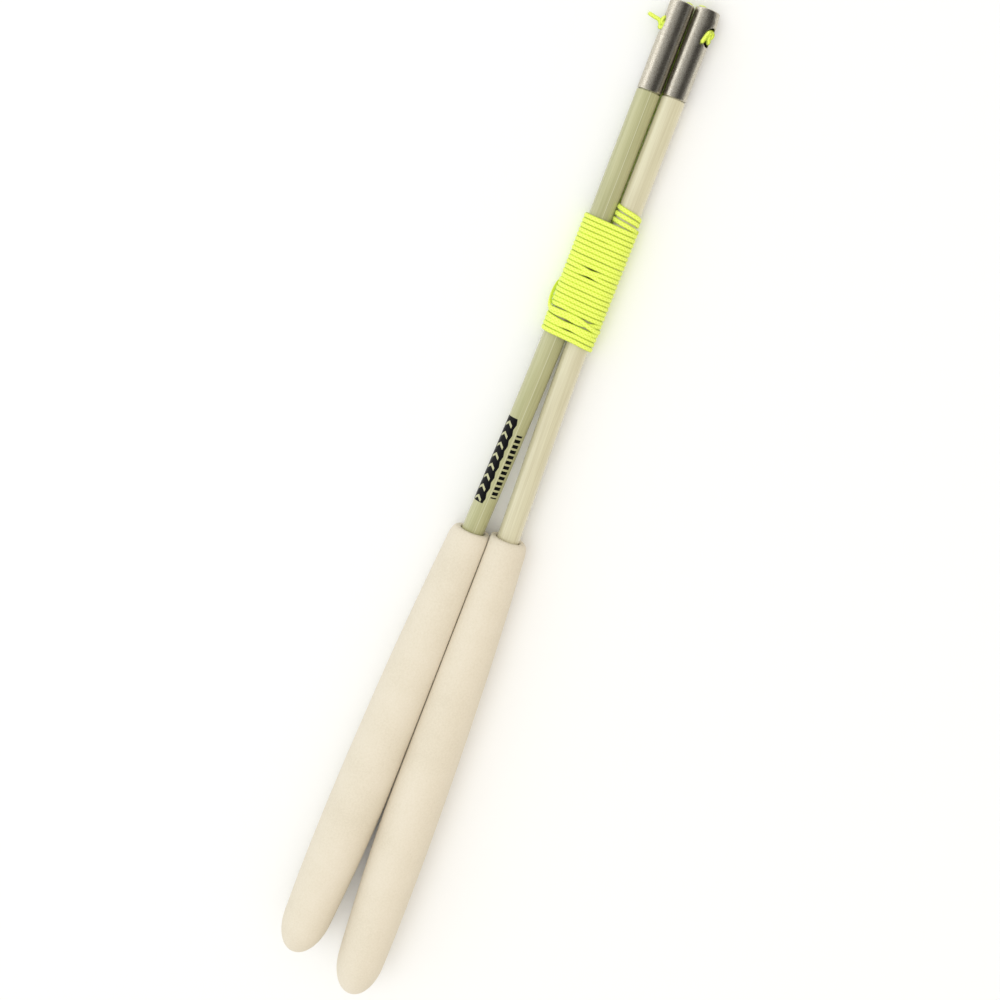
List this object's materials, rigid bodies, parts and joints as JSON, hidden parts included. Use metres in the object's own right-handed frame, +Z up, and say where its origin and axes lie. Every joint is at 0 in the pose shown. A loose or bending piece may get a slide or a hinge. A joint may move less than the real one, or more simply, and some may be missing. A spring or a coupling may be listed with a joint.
{
  "type": "diabolo hand sticks",
  "caption": "Pair of hollow hand sticks with foam grips and metal tips, stored side by side and bound together by their own wound string.",
  "frame": {"origin": "centre of the underside of the bounding box, on the surface the pair lies on", "axes": "+X along the sticks towards their metal tips, +Y sideways towards the left stick, +Z up. The sticks' own axes slope 1.3 degrees down towards the tips, because the grips are thicker than the tips."},
  "size_m": [0.3458, 0.0392, 0.0197],
  "materials": {
    "left_fibreglass": "glossy resin over glass fibre, grey green",
    "right_fibreglass": "glossy resin over glass fibre, cream",
    "ferrule_metal": "satin nickel",
    "grip_foam": "soft matte closed-cell foam, cream",
    "plug_plastic": "black moulded plastic",
    "string_braid": "fluorescent yellow-green braid"
  },
  "bodies": {
    "wrap": {"string_wrap": "string_braid", "string_under_wrap": "string_braid", "locking_turns": "string_braid"},
    "left_stick": {"left_tube": "left_fibreglass", "left_end_plug": "plug_plastic", "left_tip_ferrule": "ferrule_metal", "left_grip": "grip_foam", "left_tip_string": "string_braid", "left_knot": "string_braid"},
    "right_stick": {"right_tube": "right_fibreglass", "right_end_plug": "plug_plastic", "right_tip_ferrule": "ferrule_metal", "right_grip": "grip_foam", "right_tip_string": "string_braid", "right_knot": "string_braid"}
  },
  "joints": [
    {"name": "left_stick_slide", "type": "slide", "parent": "wrap", "child": "left_stick", "axis": [-0.9997, 0, 0.0227], "range_m": [0, 0.038], "deforming": ["left_tip_string"]},
    {"name": "right_stick_slide", "type": "slide", "parent": "wrap", "child": "right_stick", "axis": [-0.9997, 0, 0.0227], "range_m": [0, 0.033], "deforming": ["right_tip_string"]}
  ]
}
